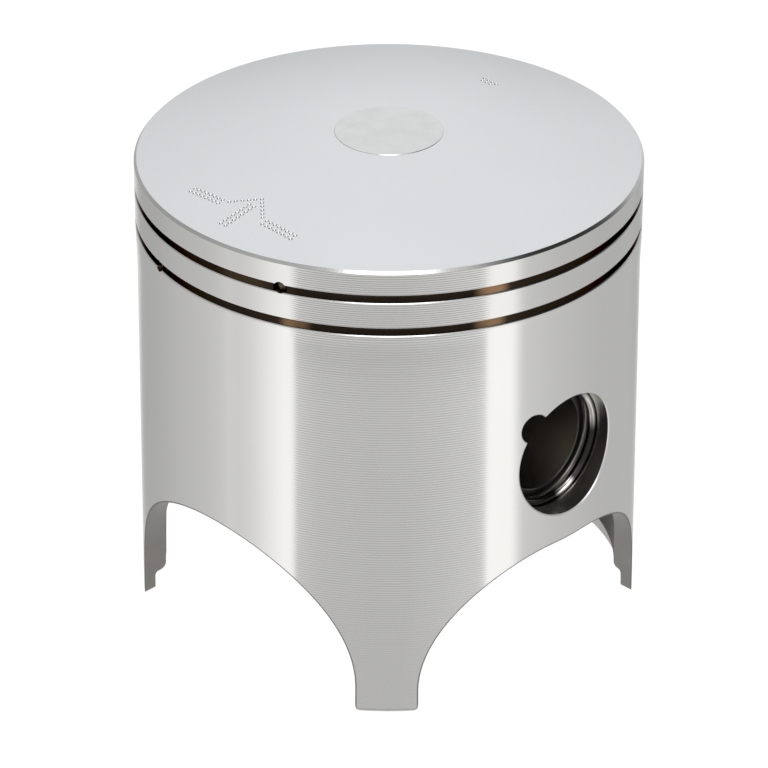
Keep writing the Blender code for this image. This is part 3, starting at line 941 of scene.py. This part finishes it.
# How bright the studio looks in a vertical wall, by the way that wall faces: degrees to the right of the camera, level.
AROUND = (
    (-90, 0.78), (-84, 0.66), (-80, 0.47), (-75, 0.47), (-66, 0.50), (-57, 0.565), (-46, 0.63), (-40.5, 0.70), (-39.5, 0.755),
    (-36, 0.735), (-32, 0.82), (-28, 0.98), (-24, 1.12), (-22.0, 1.12), (-21.4, 0.68), (-16, 0.60), (-4, 0.565), (4, 0.57),
    (12, 0.62), (18, 0.66), (20, 0.68), (22.2, 0.76), (23.0, 1.14), (29.2, 1.12), (31.0, 0.84), (32.2, 0.71), (34, 0.68),
    (44, 0.62), (56, 0.555), (74, 0.535), (80, 0.47), (90, 0.44),
)
# The same for a wall that leans back by about 45 degrees, such as a chamfer.
ABOVE = (
    (-90, 0.56), (-76, 0.52), (-66, 0.46), (-60, 0.45), (-48, 0.45), (-37, 0.51), (-30, 0.57), (-24, 0.53), (-14, 0.64),
    (-9.5, 0.80), (-8.5, 3.0), (9.2, 3.0), (10.4, 0.90), (13, 0.66), (18, 0.74), (24, 0.32), (29, 0.085), (33, 0.025),
    (40, 0.02), (48, 0.03), (54, 0.06), (60, 0.14), (66, 0.34), (72, 0.62), (80, 0.64), (90, 0.78),
)


def make_world():
    """Soft studio: light boxes placed by the surface they shine in, so their edges stay crisp on the turned skirt."""
    world = bpy.data.worlds.new("studio")
    SCENE.world = world
    world.use_nodes = True
    nodes = Nodes(world.node_tree)
    shade = world.node_tree.nodes["Background"]
    coords = nodes.add("ShaderNodeTexCoord")
    view = (math.sin(CAM_AZ) * math.cos(CAM_EL), -math.cos(CAM_AZ) * math.cos(CAM_EL), math.sin(CAM_EL))
    halfway = nodes.add("ShaderNodeVectorMath", operation="ADD")
    nodes.link(coords.outputs["Generated"], halfway.inputs[0])
    halfway.inputs[1].default_value = view
    length = nodes.add("ShaderNodeVectorMath", operation="LENGTH")
    nodes.link(halfway.outputs[0], length.inputs[0])
    unit = nodes.add("ShaderNodeVectorMath", operation="NORMALIZE")
    nodes.link(halfway.outputs[0], unit.inputs[0])
    split = nodes.add("ShaderNodeSeparateXYZ")
    nodes.link(unit.outputs[0], split.inputs[0])
    x, y, z = split.outputs
    ca, sa = math.cos(CAM_AZ), math.sin(CAM_AZ)
    near = nodes.math("SUBTRACT", nodes.math("MULTIPLY", x, sa), nodes.math("MULTIPLY", y, ca))
    right = nodes.math("ADD", nodes.math("MULTIPLY", x, ca), nodes.math("MULTIPLY", y, sa))
    az = nodes.math("MULTIPLY", nodes.math("ARCTAN2", right, near), 180 / math.pi)
    el = nodes.math("MULTIPLY", nodes.math("ARCSINE", z), 180 / math.pi)

    def band(value, a0, a1, b1, b0):
        """1 between a1 and b1, falling to 0 at a0 and b0."""
        return nodes.math("MULTIPLY", nodes.ramp(value, a0, a1), nodes.ramp(value, b1, b0, 1.0, 0.0))

    def blend(factor, a, b):
        kept = nodes.math("MULTIPLY", a, nodes.math("SUBTRACT", 1.0, factor))
        return nodes.math("ADD", kept, nodes.math("MULTIPLY", b, factor))

    def round_about(levels):
        stops = nodes.add("ShaderNodeValToRGB")
        stops.color_ramp.interpolation = "LINEAR"
        while len(stops.color_ramp.elements) < len(levels):
            stops.color_ramp.elements.new(0.5)
        for stop, (degrees, level) in zip(stops.color_ramp.elements, levels):
            stop.position = (degrees + 90) / 180
            stop.color = (level, level, level, 1)
        nodes.link(nodes.ramp(az, -90.0, 90.0, 0.0, 1.0, smooth=False), stops.inputs[0])
        return stops.outputs["Color"]

    wall = round_about(AROUND)
    front = band(az, -21.9, -21.5, 22.2, 22.6)
    slope = nodes.ramp(el, -9.0, 9.0, -0.36, 0.36)
    wall = nodes.math("MULTIPLY", wall, nodes.math("ADD", nodes.math("MULTIPLY", slope, front), 1.0))
    slant = round_about(ABOVE)
    total = blend(nodes.ramp(el, 32.0, 37.0), wall, slant)
    total = blend(nodes.ramp(el, -13.0, -22.0), total, 0.66)  # the rounded feet see a pale bench
    lamp = nodes.math("MULTIPLY", band(az, 12.0, 16.0, 36.0, 42.0), band(el, 20.0, 24.0, 33.0, 37.0))  # shines in the bore's lower lip
    total = nodes.math("ADD", total, nodes.math("MULTIPLY", lamp, 1.6))

    # crown: brighter towards the camera, a little darker at the sides of its far half
    top = nodes.ramp(near, -0.22, -0.11, 0.60, 0.865, smooth=False)
    top = nodes.math("ADD", top, nodes.ramp(near, -0.11, -0.07, 0.0, 0.055, smooth=False))
    far = nodes.math("MULTIPLY", nodes.ramp(near, -0.17, -0.10, 0.0, 0.09, smooth=False), nodes.ramp(near, -0.06, -0.01, 1.0, 0.0, smooth=False))
    top = nodes.math("ADD", nodes.math("ADD", top, far), nodes.ramp(right, 0.03, 0.10, 0.0, 0.02))
    aside = nodes.math("MULTIPLY", nodes.ramp(nodes.math("ABSOLUTE", right), 0.02, 0.18), nodes.ramp(near, -0.06, 0.07, 0.18, 0.0))
    top = nodes.math("MULTIPLY", top, nodes.math("SUBTRACT", 1.0, aside))
    total = blend(nodes.ramp(el, 62.0, 70.0), total, top)
    total = blend(nodes.ramp(length.outputs["Value"], 0.12, 0.36), 0.9, total)

    path = nodes.add("ShaderNodeLightPath")
    total = blend(path.outputs["Is Camera Ray"], total, 1.0)
    nodes.link(total, shade.inputs["Strength"])
    shade.inputs["Color"].default_value = (1.0, 1.0, 1.0, 1)


def make_camera():
    data = bpy.data.cameras.new("camera")
    data.lens = CAM_LENS
    data.sensor_width = 36
    data.clip_start, data.clip_end = 0.01, 50
    obj = bpy.data.objects.new("camera", data)
    SCENE.collection.objects.link(obj)
    back = Vector((math.sin(CAM_AZ) * math.cos(CAM_EL), -math.cos(CAM_AZ) * math.cos(CAM_EL), math.sin(CAM_EL)))
    turn = back.to_track_quat("Z", "Y").to_matrix().to_4x4()
    turn = turn @ Matrix.Rotation(CAM_ROLL, 4, "Z")
    obj.matrix_world = Matrix.Translation((CAM_TARGET + back * CAM_DIST) * 0.001) @ turn
    SCENE.camera = obj


make_floor()
make_world()
make_camera()
SCENE.cycles.glossy_bounces = 10  # light goes down the pin's hollow in many steps
SCENE.view_settings.view_transform = "Standard"
SCENE.view_settings.look = "None"
